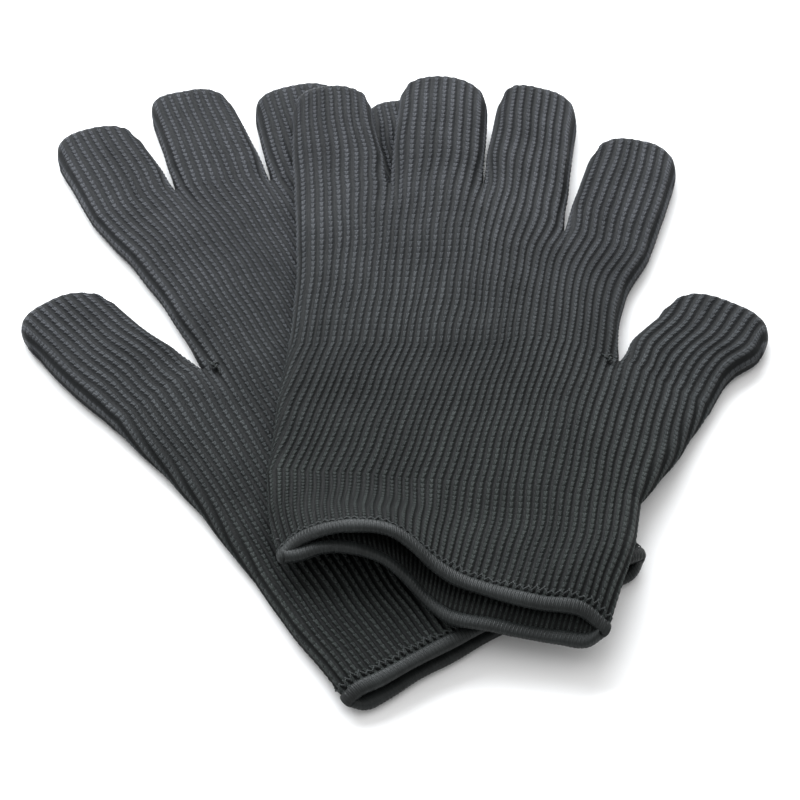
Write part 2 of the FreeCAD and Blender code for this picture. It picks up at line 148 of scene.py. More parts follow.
def curve(points, knots=None):
    """Smooth curve through points, as a function of a parameter from 0 to 1."""
    points = np.asarray(points, float)
    if knots is None:
        steps = np.linalg.norm(np.diff(points, axis=0), axis=1)
        knots = np.concatenate([[0], np.cumsum(steps)]) / steps.sum()
    knots = np.asarray(knots, float)
    gap = np.diff(knots)
    slope = np.diff(points, axis=0) / gap[:, None]
    tangent = np.empty_like(points)
    tangent[0], tangent[-1] = slope[0], slope[-1]
    both = (gap[:-1] + gap[1:])[:, None]
    tangent[1:-1] = (slope[:-1] * gap[1:, None] + slope[1:] * gap[:-1, None]) / both

    def at(t):
        t = np.clip(t, knots[0], knots[-1])
        i = np.clip(np.searchsorted(knots, t, side="right") - 1, 0, len(gap) - 1)
        h = gap[i][..., None]
        s = ((t - knots[i]) / gap[i])[..., None]
        return (
            points[i] * (1 + 2 * s) * (1 - s) ** 2
            + tangent[i] * h * s * (1 - s) ** 2
            + points[i + 1] * s * s * (3 - 2 * s)
            + tangent[i + 1] * h * s * s * (s - 1)
        )

    return at


def patch(bottom, top, paths):
    """Plan of a flat panel between a bottom row, a top row and paths at given wales."""
    stations = [wale for wale, _ in paths]

    def at(u, t):
        straight = (1 - t)[..., None] * bottom(u) + t[..., None] * top(u)
        out = straight.copy()
        for k, (wale, path) in enumerate(paths):
            weight = np.ones_like(u)
            if k > 0:
                before = stations[k - 1]
                weight = np.where(u <= wale, ease((u - before) / (wale - before)), weight)
            if k + 1 < len(paths):
                after = stations[k + 1]
                weight = np.where(u > wale, 1 - ease((u - wale) / (after - wale)), weight)
            here = np.full_like(u, float(wale))
            off = path(t) - ((1 - t)[..., None] * bottom(here) + t[..., None] * top(here))
            out += weight[..., None] * off
        return out

    return at


def to_world(glove, x, y):
    g = GLOVES[glove]
    a = math.radians(g["yaw"])
    x = x * g["side"]
    return (
        g["place"][0] + math.cos(a) * x - math.sin(a) * y,
        g["place"][1] + math.sin(a) * x + math.cos(a) * y,
    )


def columns(wales, low_steps):
    """Wale number of each mesh column of a tube: over the top, then back beneath."""
    top = np.arange(wales * TOP_STEPS) / TOP_STEPS
    low = wales + np.arange(wales * low_steps) / low_steps
    return np.concatenate([top, low])


def halves(c, wales, roll):
    """Whether a column is on top, and how far across it is, from 0 to 1."""
    top = (c >= roll) & (c <= wales - roll)
    on_top = (c - roll) / (wales - 2 * roll)
    round_c = np.where(c < roll, c + 2 * wales, c)
    beneath = 1 - (round_c - (wales - roll)) / (wales + 2 * roll)
    return top, np.clip(np.where(top, on_top, beneath), 0, 1)


def section(across, width, half, edge):
    """Flat section with round edges, by length along the cloth: place across, rise."""
    arc = math.pi / 2 * np.sqrt((edge**2 + half**2) / 2)
    total = width - 2 * edge + 2 * arc
    s = np.minimum(across, 1 - across) * total
    angle = np.minimum(s / arc, 1) * math.pi / 2
    reach = np.where(s < arc, edge * (1 - np.cos(angle)), edge + s - arc)
    return np.where(across <= 0.5, reach, width - reach) / width, np.sin(angle)


def waver(x, y, scale, seed):
    """Slow, smooth waviness over the plan, from about -1 to 1."""
    out = 0
    for k in range(4):
        turn = seed * 2.4 + k * 1.9
        wave = scale * (1.0, 0.71, 0.53, 1.37)[k]
        out = out + math.sin(seed + k * 2.1 + 0.7) * 0.25 * np.sin(
            (x * math.cos(turn) + y * math.sin(turn)) * 2 * math.pi / wave + seed * 3.1 + k * 5.3
        ) + 0.25 * np.sin((x * math.sin(turn) - y * math.cos(turn)) * 2 * math.pi / wave + k * 1.3 + seed)
    return out


class Ground:
    """Height of what a glove lies on, over a grid in the plan."""

    STEP = 2.0
    SPREAD_STEPS = 70
    SMOOTH_STEPS = 6
    SINK = 0.3            # how far smoothing may go below what lies there

    def __init__(self):
        self.low = np.array([-170.0, -170.0])
        self.count = 170
        self.height = np.zeros((self.count, self.count))

    def add(self, points):
        cell = np.round((points[:, :2] - self.low) / self.STEP).astype(int)
        np.maximum.at(self.height, (cell[:, 0], cell[:, 1]), points[:, 2])

    def settle(self, slope):
        """Cloth laid over it: falls away no faster than the slope, then is smoothed."""
        h = self.height
        fall = slope * self.STEP
        for _ in range(self.SPREAD_STEPS):
            p = np.pad(h, 1, mode="edge")
            near = np.maximum.reduce([p[:-2, 1:-1], p[2:, 1:-1], p[1:-1, :-2], p[1:-1, 2:]]) - fall
            cross = np.maximum.reduce([p[:-2, :-2], p[2:, 2:], p[:-2, 2:], p[2:, :-2]]) - fall * 1.414
            h = np.maximum(h, np.maximum(near, cross))
        solid = h
        for _ in range(self.SMOOTH_STEPS):
            p = np.pad(h, 1, mode="edge")
            h = (p[:-2, 1:-1] + p[2:, 1:-1] + p[1:-1, :-2] + p[1:-1, 2:] + 4 * p[1:-1, 1:-1]) / 8
        self.height = np.maximum(h, solid - self.SINK)

    def at(self, x, y):
        fx = np.clip((x - self.low[0]) / self.STEP, 0, self.count - 1.001)
        fy = np.clip((y - self.low[1]) / self.STEP, 0, self.count - 1.001)
        i, j = fx.astype(int), fy.astype(int)
        a, b = fx - i, fy - j
        h = self.height
        near = h[i, j] * (1 - a) + h[i + 1, j] * a
        far = h[i, j + 1] * (1 - a) + h[i + 1, j + 1] * a
        return near * (1 - b) + far * b


floor = Ground()


class Tube:
    """A knitted tube lying flat: columns round it, rows along it."""

    def __init__(self, glove, part, wales, courses, first_course, plan, ground,
                 low_steps=LOW_STEPS, thick=None, roll=(0, 0), start=None, start_fade=0.3,
                 pinches=(), lips=None, close_tip=False):
        self.glove, self.part, self.wales = glove, part, wales
        self.courses, self.first = courses, first_course
        self.plan, self.ground, self.low_steps = plan, ground, low_steps
        self.thick, self.roll = thick, roll
        self.start, self.start_fade = start, start_fade
        self.pinches, self.lips, self.close_tip = pinches, lips, close_tip
        self.c = columns(wales, low_steps)

    def raw(self, c, t, inset):
        g = GLOVES[self.glove]
        roll = self.roll[0] + (self.roll[1] - self.roll[0]) * t
        top, across = halves(c, self.wales, roll)
        width = self.width(t)
        thick = self.thick(t)
        closing = self.closing(t)
        edge = g["edge"] * np.maximum(closing, 0.35)
        place, rise = section(across, width - 2 * inset, thick / 2 - inset, edge - inset * 0.8)
        place = (inset + place * (width - 2 * inset)) / width
        spot = self.plan(place, t)
        x, y = spot[..., 0], spot[..., 1]
        x = x + 0.34 * waver(x, y * 0.5, 21.0, 1.0) + 0.13 * waver(x, y * 0.25, 6.5, 4.0)
        y = y + 0.45 * waver(x, y, 29.0, 2.0)
        wx, wy = to_world(self.glove, x, y)
        level = self.ground.at(wx, wy) + REST
        swell = 1 + 0.09 * waver(x, y, 41.0, 3.0)
        up = thick * (1 - LOW_SHARE) * swell
        down = thick * LOW_SHARE
        pinch = np.ones_like(x)
        for wale, reach, ahead in self.pinches:
            gap = np.abs(place * self.wales - wale)
            near = np.exp(-((gap / reach) ** 2)) * ease(ahead(t))
            pinch = pinch * (1 - near * (1 - PINCHED / (thick / 2)))
        high = np.where(top, up - inset, inset - down) * rise * pinch * closing
        return np.stack([wx, wy, level + down + high], axis=-1)

    def width(self, t):
        left = self.plan(np.zeros_like(t), t)
        right = self.plan(np.ones_like(t), t)
        return np.linalg.norm(right - left, axis=-1)

    def closing(self, t):
        if not self.close_tip:
            return np.ones_like(t)
        back = np.clip((1 - t) * self.courses * COURSE / TIP_CLOSE, 0, 1)
        return np.sqrt(1 - (1 - back) ** 2)

    def surface(self, t_rows, inset=0.0):
        """Points of the tube's base surface, row by row."""
        c = np.broadcast_to(self.c[None, :], (len(t_rows), len(self.c)))
        t = np.broadcast_to(t_rows[:, None], c.shape)
        points = self.raw(c, t, inset)
        first = np.zeros_like(c[:1])
        if self.start is not None:
            own = self.raw(c[:1], first, 0.0)
            fade = 1 - ease(t / self.start_fade)
            points = points + (self.start[None] - own) * fade[..., None]
        if self.lips is not None:
            own = self.raw(c[:1], first, 0.0)
            top, across = halves(c[:1], self.wales, self.roll[0])
            lip = np.where(top[..., None], self.lips[0](across), self.lips[1](across))
            lx, ly = to_world(self.glove, lip[..., 0], lip[..., 1])
            lift = np.maximum(lip[..., 2], self.ground.at(lx, ly) + LIP_REST)
            goal = np.stack([lx, ly, lift], axis=-1)
            points = points + (goal - own) * (1 - ease(t))[..., None] ** 1.2
        return points

    def rows(self):
        return np.linspace(0, 1, self.courses * ROW_STEPS + 1)

    def build(self):
        t = self.rows()
        base = self.surface(t)
        self.base = base
        normal = normals(base)
        top_middle = base.shape[1] // 4
        if normal[:, top_middle, 2].mean() < 0:
            normal = -normal
        self.normal = normal
        v = self.first + np.arange(len(t)) / ROW_STEPS
        relief = stitch(self.c[None, :], v[:, None])
        if self.close_tip:
            relief = relief * ease((len(t) - 1 - np.arange(len(t))) / TIP_SMOOTH)[:, None]
        outer = base + normal * (relief * RELIEF)[..., None]
        coarse = np.linspace(0, 1 - (0.03 if self.close_tip else 0), max(self.courses // 3, 6))
        inner = self.surface(coarse, inset=WALL)
        v_in = self.first + coarse * self.courses
        rims = np.zeros((len(outer) + len(inner), len(self.c)), bool)
        rims[0] = True
        if not self.close_tip:
            rims[len(outer) - 1] = True
        self.rims = rims.ravel()
        return shell(self, outer, v, inner, v_in)


def stitch(c, v):
    """Height of a plain knitted stitch, from 0 in the grooves to 1."""
    a, b = c % 1, v % 1
    legs = np.abs(np.abs(a - 0.5) - (0.05 + 0.11 * b)) / 0.18
    leg = np.cos(np.clip(legs, 0, 1) * math.pi / 2) ** 2
    rib = np.sin(math.pi * a) ** 3
    return 0.5 * rib + 0.5 * leg * (0.45 + 0.55 * np.sin(math.pi * b))


def normals(grid):
    around = np.roll(grid, -1, axis=1) - np.roll(grid, 1, axis=1)
    along = np.gradient(grid, axis=0)
    n = np.cross(around, along)
    length = np.linalg.norm(n, axis=-1, keepdims=True)
    n = n / np.maximum(length, 1e-9)
    for _ in range(2):
        n = (np.roll(n, 1, axis=1) + 2 * n + np.roll(n, -1, axis=1)) / 4
    return n / np.maximum(np.linalg.norm(n, axis=-1, keepdims=True), 1e-9)


def corner_uv(left, right, low, high):
    """Coordinates of the four corners of each quad in a grid."""
    corners = ((left, low), (right, low), (right, high), (left, high))
    return np.stack([np.stack(corner, -1) for corner in corners], axis=2)


def grid_quads(low, high):
    """Quads between rows of point numbers, closed round."""
    return np.stack([low, np.roll(low, -1, axis=1), np.roll(high, -1, axis=1), high], axis=-1)


def shell(tube, outer, v_out, inner, v_in):
    """Closed mesh from an outer and an inner grid: points, quads and knit coordinates."""
    count = outer.shape[1]
    c = np.append(tube.c, 2 * tube.wales)
    rows_out, rows_in = len(outer), len(inner)
    points = np.concatenate([outer.reshape(-1, 3), inner.reshape(-1, 3)])
    index_out = np.arange(rows_out * count).reshape(rows_out, count)
    index_in = rows_out * count + np.arange(rows_in * count).reshape(rows_in, count)
    if tube.close_tip:
        half = count // 2
        mirror = (count - np.arange(count)) % count
        mirror[: half + 1] = np.arange(half + 1)
        index_out[-1] = index_out[-1][mirror]
        index_in[-1] = index_in[-1][mirror]
    strips = [(index_out[j], index_out[j + 1], v_out[j], v_out[j + 1]) for j in range(rows_out - 1)]
    if not tube.close_tip:
        strips.append((index_out[-1], index_in[-1], v_out[-1], v_out[-1]))
    strips += [(index_in[j + 1], index_in[j], v_in[j + 1], v_in[j]) for j in reversed(range(rows_in - 1))]
    strips.append((index_in[0], index_out[0], v_in[0], v_in[0]))
    low = np.array([s[0] for s in strips])
    high = np.array([s[1] for s in strips])
    quads = grid_quads(low, high).reshape(-1, 4)
    v_low = np.array([s[2] for s in strips])
    v_high = np.array([s[3] for s in strips])
    shape = (len(strips), count)
    left, right = np.broadcast_to(c[:-1], shape), np.broadcast_to(c[1:], shape)
    v_low = np.broadcast_to(v_low[:, None], shape)
    v_high = np.broadcast_to(v_high[:, None], shape)
    return points, quads, corner_uv(left, right, v_low, v_high).reshape(-1, 4, 2)


def tidy(points, quads, rims):
    """Drops points that no face uses."""
    used = np.unique(quads)
    new = np.full(len(points), -1)
    new[used] = np.arange(len(used))
    return points[used], new[quads], rims[used] if len(rims) else rims


def volume(points, quads):
    a, b, c, d = (points[quads[:, k]] for k in range(4))
    return (np.einsum("ij,ij->i", a, np.cross(b, c)) + np.einsum("ij,ij->i", a, np.cross(c, d))).sum()


def make_object(name, points, quads, uv, material, rims=()):
    """Mesh object. Rims marks the points where smooth shading breaks."""
    points, quads, rims = tidy(points, quads, rims)
    if volume(points, quads) < 0:
        quads = quads[:, ::-1]
        uv = uv[:, ::-1]
    mesh = bpy.data.meshes.new(name)
    mesh.vertices.add(len(points))
    mesh.vertices.foreach_set("co", (points * MM).astype(np.float32).ravel())
    mesh.loops.add(quads.size)
    mesh.loops.foreach_set("vertex_index", quads.astype(np.int32).ravel())
    mesh.polygons.add(len(quads))
    mesh.polygons.foreach_set("loop_start", np.arange(0, quads.size, 4, dtype=np.int32))
    mesh.update(calc_edges=True)
    layer = mesh.uv_layers.new(name="knit")
    layer.data.foreach_set("uv", uv.astype(np.float32).ravel())
    mesh.validate()
    mesh.polygons.foreach_set("use_smooth", np.ones(len(mesh.polygons), bool))
    if len(rims):
        ends = np.empty(len(mesh.edges) * 2, np.int32)
        mesh.edges.foreach_get("vertices", ends)
        ends = ends.reshape(-1, 2)
        crisp = mesh.attributes.new("sharp_edge", "BOOLEAN", "EDGE")
        crisp.data.foreach_set("value", (rims[ends[:, 0]] & rims[ends[:, 1]]))
    mesh.materials.append(material)
    piece = bpy.data.objects.new(name, mesh)
    bpy.context.scene.collection.objects.link(piece)
    return piece


def thread(path, radius, sides=8, closed=True):
    """Round thread along a path: points, quads and coordinates."""
    path = np.asarray(path, float)
    count = len(path)
    if closed:
        along = np.roll(path, -1, axis=0) - np.roll(path, 1, axis=0)
    else:
        along = np.gradient(path, axis=0)
    along = along / np.linalg.norm(along, axis=1, keepdims=True)
    side = np.cross(along, [0.0, 0.0, 1.0])
    side = side / np.maximum(np.linalg.norm(side, axis=1, keepdims=True), 1e-9)
    up = np.cross(side, along)
    turn = np.arange(sides) / sides * 2 * math.pi
    reach = np.broadcast_to(np.asarray(radius, float), (count,))[:, None, None]
    points = (
        path[:, None]
        + side[:, None] * (np.cos(turn)[None, :, None] * reach)
        + up[:, None] * (np.sin(turn)[None, :, None] * reach)
    )
    index = np.arange(count * sides).reshape(count, sides)
    steps = count if closed else count - 1
    quads = grid_quads(index[:steps], np.roll(index, -1, axis=0)[:steps])
    length = np.concatenate([[0], np.cumsum(np.linalg.norm(np.diff(path, axis=0), axis=1))])
    length = np.append(length, length[-1] + np.linalg.norm(path[0] - path[-1]))
    v0, v1 = length[:steps, None] + np.zeros(sides), length[1 : steps + 1, None] + np.zeros(sides)
    u0 = np.arange(sides)[None, :] / sides + np.zeros((steps, 1))
    uv = corner_uv(u0, u0 + 1 / sides, v0, v1)
    points, quads, uv = points.reshape(-1, 3), quads.reshape(-1, 4), uv.reshape(-1, 4, 2)
    if not closed:
        ends = []
        for ring in (index[0][::-1], index[-1]):
            for k in range(1, sides // 2):
                ends.append([ring[k - 1], ring[k], ring[sides - 1 - k], ring[(sides - k) % sides]])
        ends = np.array(ends)
        quads = np.concatenate([quads, ends])
        uv = np.concatenate([uv, np.zeros((len(ends), 4, 2))])
    return points, quads, uv


def joined(parts):
    points, quads, uv, shift = [], [], [], 0
    for p, q, w in parts:
        if volume(p, q) < 0:
            q, w = q[:, ::-1], w[:, ::-1]
        points.append(p)
        quads.append(q + shift)
        uv.append(w)
        shift += len(p)
    return np.concatenate(points), np.concatenate(quads), np.concatenate(uv)


def seam_start(grid, front, back, low_steps):
    """First row of a tube that grows out of another's last row. front and back
    are the columns that it continues, left to right and then back again."""
    row = grid[-1]
    top = row[np.asarray(front)]
    low = row[np.asarray(back) % len(row)]
    first = (top[0] + low[-1]) / 2
    turn = (top[-1] + low[0]) / 2
    wales = (len(front) - 1) // TOP_STEPS
    have = np.arange(len(low)) / LOW_STEPS
    want = np.arange(wales * low_steps) / low_steps
    beneath = np.stack([np.interp(want, have, low[:, k]) for k in range(3)], axis=1)
    beneath[0] = turn
    top = top[:-1].copy()
    top[0] = first
    return np.concatenate([top, beneath])


def length_of(path):
    """Straight distance between the ends of a path."""
    return float(np.linalg.norm(np.subtract(path[0], path[-1])))


def stall_plan(left_path, right_path, tip):
    """Plan of a stall between its two sides, with its rows bowed to a round tip; and its length."""
    left, right = curve(left_path), curve(right_path)
    middle_root = (np.array(left_path[0]) + np.array(right_path[0])) / 2
    way = np.array(tip) - middle_root
    length = float(np.linalg.norm(way))
    axis = way / length
    shoulder = (np.array(left_path[-1]) + np.array(right_path[-1])) / 2
    bulge = float((np.array(tip) - shoulder) @ axis)

    def plan(f, t):
        back = bulge * ease((t - 0.5) / 0.5) ** 1.15
        along = (length * t - back) / (length - bulge)
        low, high = left(along), right(along)
        dome = (1 - np.abs(2 * f - 1) ** 3) ** (1 / 2.2)
        return low + (high - low) * f[..., None] + axis * (back * dome)[..., None]

    return plan, length


def build_glove(name, ground):
    """All the tubes of a glove, each grown out of the one before it."""
    g = GLOVES[name]
    n, m, f, th = (WALES[key] for key in ("hand", "palm", "finger", "thumb"))
    tubes = {}

    def even(t):
        return np.full_like(t, g["thick"])

    def plump(t):
        return g["thick"] + PLUMP * ease(t / 0.4)

    lips = [curve(g["lip_top"]), curve(g["lip_low"])]
    share = np.linspace(0, 1, 25)
    mouth = curve((lips[0](share)[:, :2] + lips[1](share)[:, :2]) / 2)
    wrist = curve(g["wrist"])
    knuckle = curve([k[1:] for k in g["knuckle"]], [k[0] / n for k in g["knuckle"]])

    cuff_plan = patch(lambda u: mouth(u / n), lambda u: wrist(u / n),
                      [(0, curve(g["cuff_left"])), (n, curve(g["cuff_right"]))])
    cuff_rows = round((length_of(g["cuff_left"]) + length_of(g["cuff_right"])) / 2 / COURSE)
    tubes["cuff"] = Tube(name, "cuff", n, cuff_rows, 0, lambda x, t: cuff_plan(x * n, t), ground,
                         thick=even, roll=(g["roll"], g["roll"]), lips=lips)

    crotch = np.array(g["knuckle"][2][1:])
    through = wrist(np.array(m / n))
    middle = curve([through, (through + crotch) / 2 + np.array([-1.0, 0]), crotch])
    hand_plan = patch(lambda u: wrist(u / n), lambda u: knuckle(u / n),
                      [(0, curve(g["hand_left"])), (m, middle), (n, curve(g["hand_right"]))])
    hand_rows = round((length_of(g["hand_left"]) + length_of((through, crotch))) / 2 / COURSE)
    hand = Tube(name, "hand", n, hand_rows, cuff_rows, lambda x, t: hand_plan(x * n, t), ground,
                thick=even, roll=(g["roll"], 0.0), pinches=[(m, PINCH_REACH, lambda t: (t - 0.8) / 0.2)])
    hand.build_parts = hand.build()
    tubes["hand"] = hand
    palm_first = cuff_rows + hand_rows

    def roots(u):
        at = [0, 0.25, 0.5, 0.75, 1]
        return np.stack([np.interp(u / m, at, [p[k] for p in g["roots"]]) for k in (0, 1)], axis=-1)

    palm_plan = patch(lambda u: knuckle(u / n), roots,
                      [(0, curve(g["palm_left"])), (m, curve(g["palm_right"]))])
    palm_rows = round((length_of(g["palm_left"]) + length_of(g["palm_right"])) / 2 / COURSE)
    front = np.arange(m * TOP_STEPS + 1)
    back = n * TOP_STEPS + th * LOW_STEPS + np.arange(m * LOW_STEPS + 1)
    palm = Tube(name, "palm", m, palm_rows, palm_first, lambda x, t: palm_plan(x * m, t), ground,
                thick=even, start=seam_start(hand.base, front, back, LOW_STEPS),
                pinches=[(k * f, PINCH_REACH, lambda t: (t - 0.78) / 0.22) for k in (1, 2, 3)])
    palm.build_parts = palm.build()
    tubes["palm"] = palm

    def stall(part, wales, first, plan, length, start):
        tubes[part] = Tube(name, part, wales, round(length / COURSE), first, plan, ground,
                           low_steps=TOP_STEPS, thick=plump, start=start, close_tip=True)

    for k, finger in enumerate(FINGERS):
        tip = g["tips"][finger]
        plan, length = stall_plan([g["roots"][k], tip[0]], [g["roots"][k + 1], tip[2]], tip[1])
        front = f * TOP_STEPS * k + np.arange(f * TOP_STEPS + 1)
        back = m * TOP_STEPS + (m - f * (k + 1)) * LOW_STEPS + np.arange(f * LOW_STEPS + 1)
        start = seam_start(palm.base, front, back, TOP_STEPS)
        stall(finger, f, palm_first + palm_rows, plan, length, start)
    plan, length = stall_plan(g["thumb_left"], g["thumb_right"], g["tips"]["thumb"][1])
    front = np.arange(m * TOP_STEPS, n * TOP_STEPS + 1)
    back = n * TOP_STEPS + np.arange(th * LOW_STEPS + 1)
    stall("thumb", th, palm_first, plan, length, seam_start(hand.base, front, back, TOP_STEPS))
    for tube in tubes.values():
        if not hasattr(tube, "build_parts"):
            tube.build_parts = tube.build()
    return tubes


def finish_cuff(name, tube, materials):
    """The overlocked hem, its loops, and the elastic rows that lie in the cuff's wall."""
    base, normal = tube.base, tube.normal
    ring, out = base[0], normal[0]
    fine = 4
    count = len(ring) * fine
    at = np.arange(count) / fine
    index = np.arange(len(ring) + 1)

    def widen(grid):
        closed = grid[index % len(ring)]
        return np.stack([np.interp(at, index, closed[:, k]) for k in range(3)], axis=1)

    along = base[ROW_STEPS] - base[0]
    along = along / np.linalg.norm(along, axis=1, keepdims=True)
    for _ in range(24):
        along = (np.roll(along, 1, axis=0) + along + np.roll(along, -1, axis=0)) / 3
        out = (np.roll(out, 1, axis=0) + out + np.roll(out, -1, axis=0)) / 3
    along = along / np.linalg.norm(along, axis=1, keepdims=True)
    out = out - along * (out * along).sum(1, keepdims=True)
    out = out / np.linalg.norm(out, axis=1, keepdims=True)
    path, across, up = widen(ring - out * 0.35 * WALL), widen(along), widen(out)
    step = np.linalg.norm(np.roll(path, -1, axis=0) - path, axis=1)
    length = np.concatenate([[0], np.cumsum(step)])
    turns = round(length[-1] / WRAP)
    sides = 18
    angle = np.arange(sides) / sides * 2 * math.pi
    phase = length[:-1, None] / length[-1] * turns * 2 * math.pi + 2.2 * np.cos(angle)[None, :]
    wrap = 0.10 * np.abs(np.sin(phase / 2))
    bulge = 0.14 * waver(path[:, 0], path[:, 1], 23.0, 5.0)[:, None]
    wide, high = 2.25, 1.35
    cos, sin = np.cos(angle)[None, :], np.sin(angle)[None, :]
    square = (np.abs(cos) ** 2.6 + np.abs(sin) ** 2.6) ** (-1 / 2.6)
    points = (
        path[:, None]
        + across[:, None] * ((wide + wrap + bulge) * cos * square)[..., None]
        + up[:, None] * ((high + wrap + bulge) * sin * square)[..., None]
    )
    points[..., 2] = np.maximum(points[..., 2], 0.25)
    grid = np.arange(count * sides).reshape(count, sides)
    quads = grid_quads(grid, np.roll(grid, -1, axis=0)).reshape(-1, 4)
    u0 = np.arange(sides)[None, :] / sides + np.zeros((count, 1))
    v0 = (length[:-1, None] / WRAP) + np.zeros((1, sides))
    v1 = (length[1:, None] / WRAP) + np.zeros((1, sides))
    uv = corner_uv(u0, u0 + 1 / sides, v0, v1).reshape(-1, 4, 2)
    hem = make_object(f"{name}_hem_band", points.reshape(-1, 3), quads, uv, materials["hem"])

    def on_cuff(c, v, lift):
        steps = tube.c
        order = np.append(steps, 2 * tube.wales)
        col = np.interp(c % (2 * tube.wales), order, np.arange(len(order)))
        row = np.clip(v * ROW_STEPS, 0, len(base) - 1.001)
        i, j = col.astype(int) % len(steps), row.astype(int)
        a, b = (col - col.astype(int))[:, None], (row - j)[:, None]
        k = (i + 1) % len(steps)

        def mix(grid):
            near = grid[j, i] * (1 - a) + grid[j, k] * a
            far = grid[j + 1, i] * (1 - a) + grid[j + 1, k] * a
            return near * (1 - b) + far * b

        return mix(base) + mix(normal) * np.asarray(lift)[..., None]

    loops = 2 * tube.wales
    s = np.arange(loops * 12) / 12
    uneven = 0.22 * np.sin(s * 1.7) + 0.16 * np.sin(s * 0.61 + 2)
    v = 1.5 + uneven * 0.7 + (0.46 + 0.6 * uneven) * np.sin(2 * math.pi * s)
    lift = 0.42 + 0.12 * np.cos(4 * math.pi * s)
    path = on_cuff(s + 0.16 * np.sin(4 * math.pi * s), v, lift)
    path[:, 2] = np.maximum(path[:, 2], 0.65)
    points, quads, uv = thread(path, 0.27, sides=6)
    lock = make_object(f"{name}_hem_loops", points, quads, uv, materials["loops"])

    rows = []
    for k in range(ELASTIC_ROWS):
        s = np.arange(loops * 3) / 3
        v = 4.0 + k * (tube.courses - 6.5) / (ELASTIC_ROWS - 1)
        rows.append(thread(on_cuff(s, np.full_like(s, v), np.full_like(s, -0.55)), 0.28, sides=6))
    elastic = make_object(f"{name}_elastic_rows", *joined(rows), materials["elastic"])
    return hem, lock, elastic


def tie_knot(name, tube, material):
    """Tied-off yarn end at the thumb's crotch: a small overhand knot with two ends."""
    col = (WALES["palm"] - 1) * TOP_STEPS - 2
    row = -int(1.4 * ROW_STEPS)
    centre = tube.base[row, col] + tube.normal[row, col] * 0.9
    s = np.linspace(0, 2 * math.pi, 72, endpoint=False)
    knot = np.stack(
        [
            (np.sin(s) + 2 * np.sin(2 * s)) * 0.44,
            (np.cos(s) - 2 * np.cos(2 * s)) * 0.4,
            -np.sin(3 * s) * 0.42,
        ],
        axis=1,
    )
    parts = [thread(centre + knot, 0.36, sides=8)]
    for turn in (2.3, 5.1):
        d = np.linspace(0, 1, 9)[:, None]
        way = np.array([math.cos(turn), math.sin(turn), 0.0])
        drop = np.array([0, 0, 1.0]) * (0.25 - 0.55 * d**2)
        wave = np.array([-way[1], way[0], 0]) * 0.6 * np.sin(3 * d)
        tail = centre + way * (0.8 + 3.0 * d) + drop + wave
        parts.append(thread(tail, 0.3 - 0.08 * d[:, 0], sides=8, closed=False))
    return make_object(f"{name}_thumb_tie", *joined(parts), material)


# Materials: small helpers, shared groups, then one material for each finish.

def put(tree, kind, **values):
    node = tree.nodes.new(kind)
    for key, value in values.items():
        if key.startswith("in_"):
            which = key[3:]
            node.inputs[int(which) if which.isdigit() else which.replace("_", " ")].default_value = value
        else:
            setattr(node, key, value)
    return node


def maths(tree, operation, a, b=None, c=None, clamp=False):
    node = tree.nodes.new("ShaderNodeMath")
    node.operation = operation
    node.use_clamp = clamp
    for k, value in enumerate((a, b, c)):
        if value is None:
            continue
        if isinstance(value, (int, float)):
            node.inputs[k].default_value = value
        else:
            tree.links.new(value, node.inputs[k])
    return node.outputs[0]


def ramp(tree, value, low, high, out_low=0.0, out_high=1.0):
    node = tree.nodes.new("ShaderNodeMapRange")
    node.interpolation_type = "SMOOTHSTEP"
    tree.links.new(value, node.inputs["Value"])
    for key, number in (("From Min", low), ("From Max", high), ("To Min", out_low), ("To Max", out_high)):
        node.inputs[key].default_value = number
    return node.outputs["Result"]


def new_group(name, inputs, outputs):
    tree = bpy.data.node_groups.new(name, "ShaderNodeTree")
    for label, kind, value in inputs:
        socket = tree.interface.new_socket(label, in_out="INPUT", socket_type=kind)
        if value is not None:
            socket.default_value = value
    for label in outputs:
        tree.interface.new_socket(label, in_out="OUTPUT", socket_type="NodeSocketFloat")
    return tree, tree.nodes.new("NodeGroupInput"), tree.nodes.new("NodeGroupOutput")


